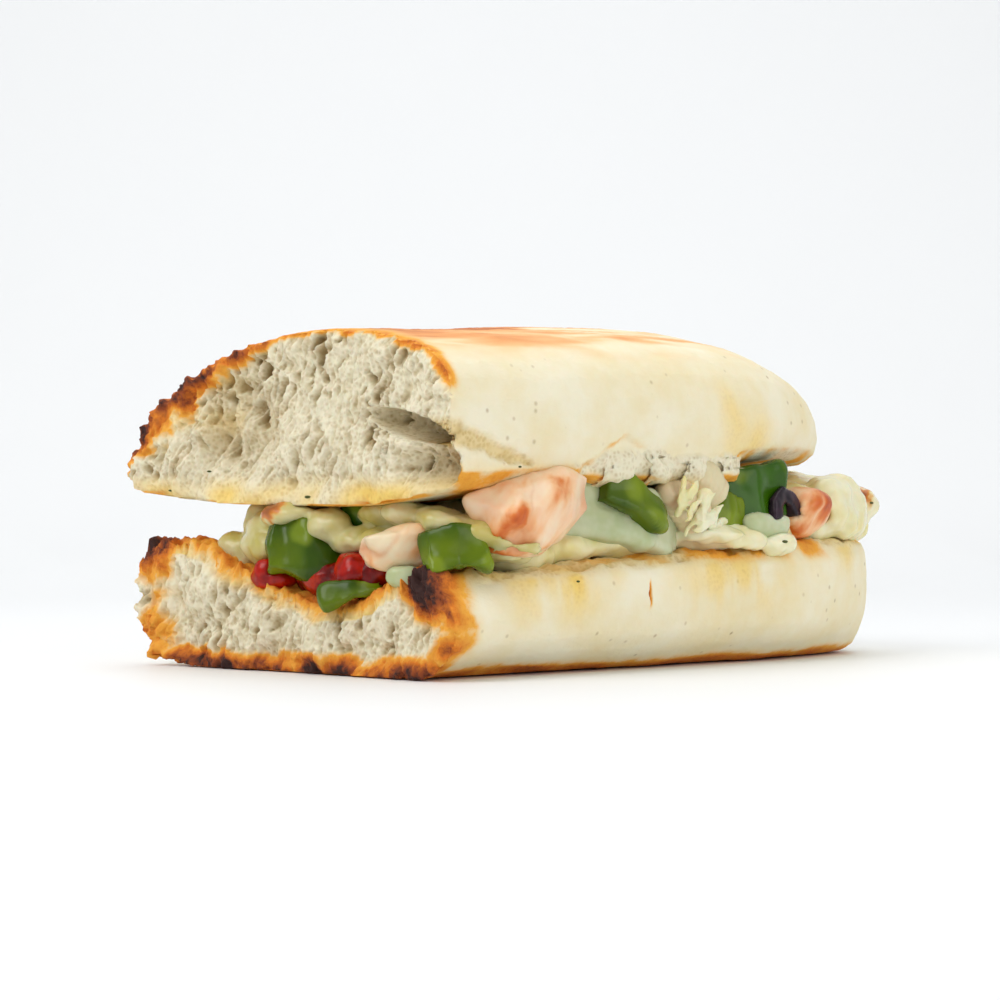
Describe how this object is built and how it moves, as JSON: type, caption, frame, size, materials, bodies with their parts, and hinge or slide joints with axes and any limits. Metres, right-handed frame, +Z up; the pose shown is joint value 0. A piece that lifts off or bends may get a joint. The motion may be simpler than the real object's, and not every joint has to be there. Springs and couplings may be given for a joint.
{
  "type": "submarine sandwich",
  "caption": "Half of a toasted submarine sandwich, torn across at one end, with chicken, peppers, onion, tomato sauce and melted cheese.",
  "frame": {"origin": "middle of the bounding box, at the level of the flat base it rests on", "axes": "+X along the roll from the torn end to the baked round end, +Z up, -Y the front long side where most filling shows"},
  "size_m": [0.1454, 0.09, 0.0646],
  "materials": {
    "chicken": "satin, cooked",
    "bread": "matte baked crust and open crumb",
    "cheese": "soft satin, melted",
    "olive": "glossy",
    "onion": "glossy, translucent",
    "pepper": "glossy, moist",
    "tomato": "glossy, moist",
    "sauce": "glossy, wet"
  },
  "bodies": {
    "root": {"chicken_front": "chicken", "chicken_mid_front": "chicken", "chicken_rear": "chicken", "chicken_rear_round": "chicken", "chicken_round_end": "chicken", "chicken_round_front": "chicken", "chicken_shred": "chicken", "chicken_torn_end": "chicken", "lower_bread": "bread", "melted_cheese": "cheese", "olive_front": "olive", "onion_crumb": "onion", "onion_dice": "onion", "onion_front": "onion", "onion_rear": "onion", "pepper_front_corner": "pepper", "pepper_front_dark": "pepper", "pepper_front_olive": "pepper", "pepper_leaf": "pepper", "pepper_rear_round": "pepper", "pepper_rear_tall": "pepper", "pepper_round_end": "pepper", "pepper_sliver": "pepper", "pepper_torn_end": "pepper", "pepper_under_crown": "pepper", "tomato_in_trough": "tomato", "tomato_rear": "tomato", "tomato_sauce": "sauce", "tomato_torn_end": "tomato", "upper_bread": "bread"}
  },
  "joints": []
}
